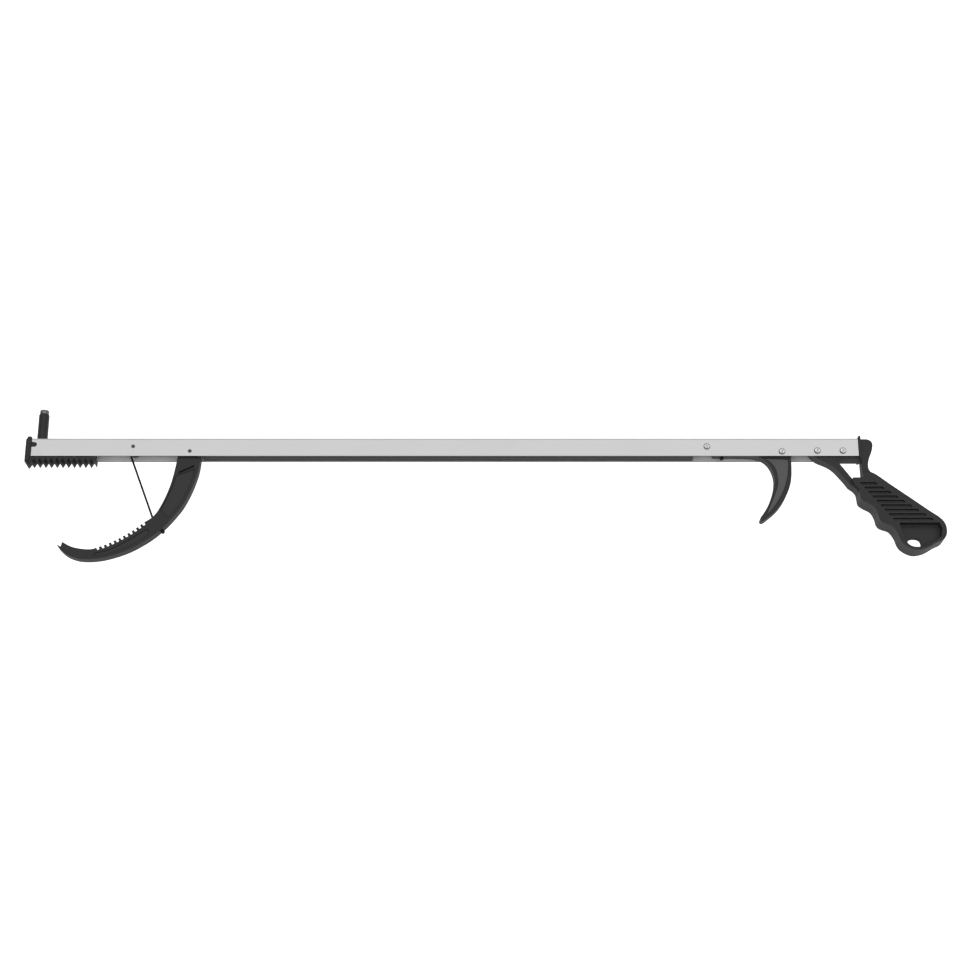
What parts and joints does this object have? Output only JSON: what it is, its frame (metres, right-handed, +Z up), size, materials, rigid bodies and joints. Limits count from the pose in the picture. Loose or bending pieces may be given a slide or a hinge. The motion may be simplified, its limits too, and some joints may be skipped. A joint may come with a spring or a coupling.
{
  "type": "reacher grabber",
  "caption": "Reacher grabber: squeezing the trigger by the pistol handle pulls a cord along the channel and swings a hooked, toothed jaw shut.",
  "frame": {"origin": "middle of the whole box at the surface that it lies on, with the trigger released and the jaw open", "axes": "+X along the channel towards the handle, +Y towards the channel's back (the top when it is held), +Z up from the surface, along every pin and rivet"},
  "size_m": [0.6602, 0.115, 0.016],
  "materials": {
    "aluminium": "satin anodised",
    "black_moulding": "satin moulded nylon",
    "strip_moulding": "satin extruded strip",
    "magnet": "nickel plated",
    "steel": "zinc plated",
    "spring_steel": "drawn wire",
    "cord": "braided"
  },
  "bodies": {
    "frame": {"channel": "aluminium", "front_jaw": "black_moulding", "lug_magnet": "magnet", "cover_strip": "strip_moulding", "handle": "black_moulding", "front_guide_bush": "black_moulding", "front_guide_pin": "steel", "jaw_pivot_pin": "steel", "rear_guide_rivet": "steel", "trigger_pivot_rivet": "steel", "handle_rivet_front": "steel", "handle_rivet_rear": "steel", "pull_cord_channel": "cord"},
    "trigger_lever": {"trigger": "black_moulding", "trigger_cord_knot": "cord", "pull_cord_rear": "cord"},
    "jaw": {"moving_jaw": "black_moulding", "jaw_cord_knot": "cord", "jaw_return_spring": "spring_steel"},
    "cord_drop": {"pull_cord_front": "cord"}
  },
  "joints": [
    {"name": "trigger_squeeze", "type": "hinge", "parent": "frame", "child": "trigger_lever", "pos_m": [0.2167, 0.0223, 0.008], "axis": [0, 0, 1], "range_deg": [0, 35.5], "deforming": ["pull_cord_rear"]},
    {"name": "jaw_close", "type": "hinge", "parent": "frame", "child": "jaw", "pos_m": [-0.2108, 0.0225, 0.008], "axis": [0, 0, 1], "range_deg": [-32, 0], "stiffness_Nm_per_rad": 0.25, "springref_deg": 20.05, "deforming": ["jaw_return_spring"]},
    {"name": "cord_drop_swing", "type": "hinge", "parent": "frame", "child": "cord_drop", "pos_m": [-0.2519, 0.0261, 0.008], "axis": [0, 0, 1], "range_deg": [-24.8, 0], "deforming": ["pull_cord_front"]}
  ],
  "couplings": [
    {"joint": "jaw_close", "follows": "trigger_squeeze", "ratio": -0.90141},
    {"joint": "cord_drop_swing", "follows": "trigger_squeeze", "ratio": -0.69859}
  ]
}
